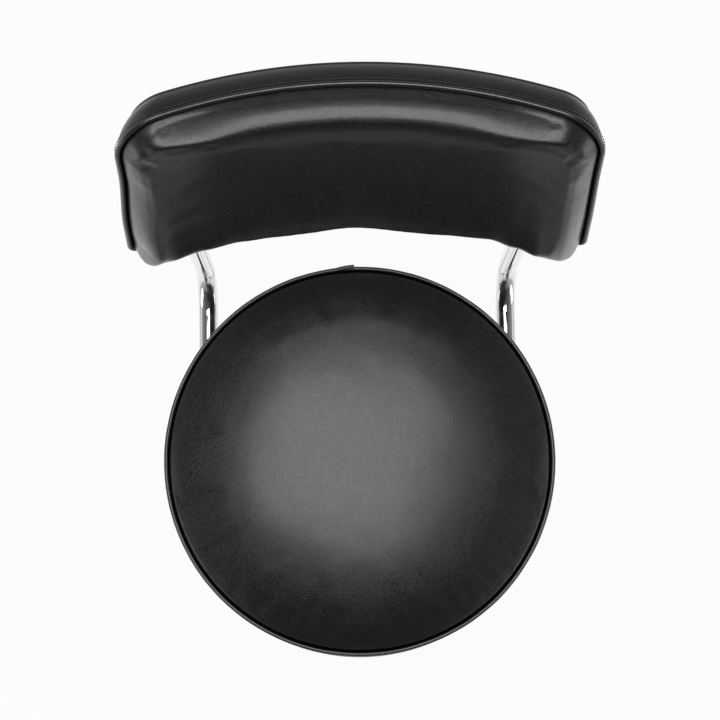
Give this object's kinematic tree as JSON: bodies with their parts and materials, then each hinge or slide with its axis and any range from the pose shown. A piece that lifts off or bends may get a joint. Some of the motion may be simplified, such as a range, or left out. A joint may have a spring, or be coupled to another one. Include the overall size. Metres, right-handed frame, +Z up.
{
  "type": "bar stool",
  "caption": "Swivel bar stool with a round black vinyl seat, a curved padded backrest on two bent chrome tubes, and a splayed chrome tube base with foot rings.",
  "frame": {"origin": "floor level, under the middle of the bounding box", "axes": "+Z up, the sitter faces -Y, the backrest is on the +Y side, +X is to the right in the picture; metres"},
  "size_m": [0.4044, 0.4912, 1.0329],
  "materials": {
    "chrome_tube": "bright chrome plating on round steel tube",
    "chrome_plate": "bright chrome plating on a pressed steel plate",
    "black_plastic": "moulded black plastic, satin",
    "zinc_plate": "zinc-plated pressed steel, dull",
    "bearing_steel": "ground and polished bearing steel",
    "zinc_fastener": "zinc-plated fastener, satin",
    "plywood": "bare birch plywood",
    "foam": "open-cell upholstery foam",
    "black_vinyl": "black upholstery vinyl with a fine leather grain, satin sheen",
    "black_piping": "black vinyl piping, slightly glossier than the panels"
  },
  "bodies": {
    "base": {"leg_front_left": "chrome_tube", "leg_front_right": "chrome_tube", "leg_rear_left": "chrome_tube", "leg_rear_right": "chrome_tube", "glide_front_left": "black_plastic", "glide_front_right": "black_plastic", "glide_rear_left": "black_plastic", "glide_rear_right": "black_plastic", "foot_ring": "chrome_tube", "upper_ring": "chrome_tube", "base_top_plate": "chrome_plate", "base_bolt_1": "zinc_fastener", "base_bolt_2": "zinc_fastener", "base_bolt_3": "zinc_fastener", "base_bolt_4": "zinc_fastener", "lower_swivel_plate": "zinc_plate", "lower_race": "zinc_plate", "swivel_rivet": "zinc_plate"},
    "cage": {"ball_cage": "zinc_plate", "bearing_ball_1": "bearing_steel", "bearing_ball_2": "bearing_steel", "bearing_ball_3": "bearing_steel", "bearing_ball_4": "bearing_steel", "bearing_ball_5": "bearing_steel", "bearing_ball_6": "bearing_steel", "bearing_ball_7": "bearing_steel", "bearing_ball_8": "bearing_steel", "bearing_ball_9": "bearing_steel", "bearing_ball_10": "bearing_steel"},
    "seat": {"back_tube_left": "chrome_tube", "back_tube_right": "chrome_tube", "tube_plug_1": "black_plastic", "tube_plug_2": "black_plastic", "upper_swivel_plate": "zinc_plate", "upper_race": "zinc_plate", "swivel_plate_screw_1": "zinc_fastener", "swivel_plate_screw_2": "zinc_fastener", "swivel_plate_screw_3": "zinc_fastener", "swivel_plate_screw_4": "zinc_fastener", "seat_tube_bolt_1": "zinc_fastener", "seat_tube_bolt_2": "zinc_fastener", "seat_tube_bolt_3": "zinc_fastener", "seat_tube_bolt_4": "zinc_fastener", "back_tube_bolt_1": "zinc_fastener", "back_tube_bolt_2": "zinc_fastener", "back_tube_bolt_3": "zinc_fastener", "back_tube_bolt_4": "zinc_fastener", "seat_board": "plywood", "back_board": "plywood", "seat_foam": "foam", "back_foam": "foam", "back_filler": "foam", "seat_top_panel": "black_vinyl", "seat_side_band": "black_vinyl", "back_front_panel": "black_vinyl", "back_boxing": "black_vinyl", "back_outer_panel": "black_vinyl", "seat_piping": "black_piping", "back_piping": "black_piping"}
  },
  "joints": [
    {"name": "seat_swivel", "type": "hinge", "parent": "base", "child": "seat", "pos_m": [0, -0.06186, 0.6471], "axis": [0, 0, 1], "continuous": true},
    {"name": "cage_turn", "type": "hinge", "parent": "base", "child": "cage", "pos_m": [0, -0.06186, 0.6471], "axis": [0, 0, 1], "continuous": true}
  ],
  "couplings": [
    {"joint": "cage_turn", "follows": "seat_swivel", "ratio": 0.5}
  ]
}
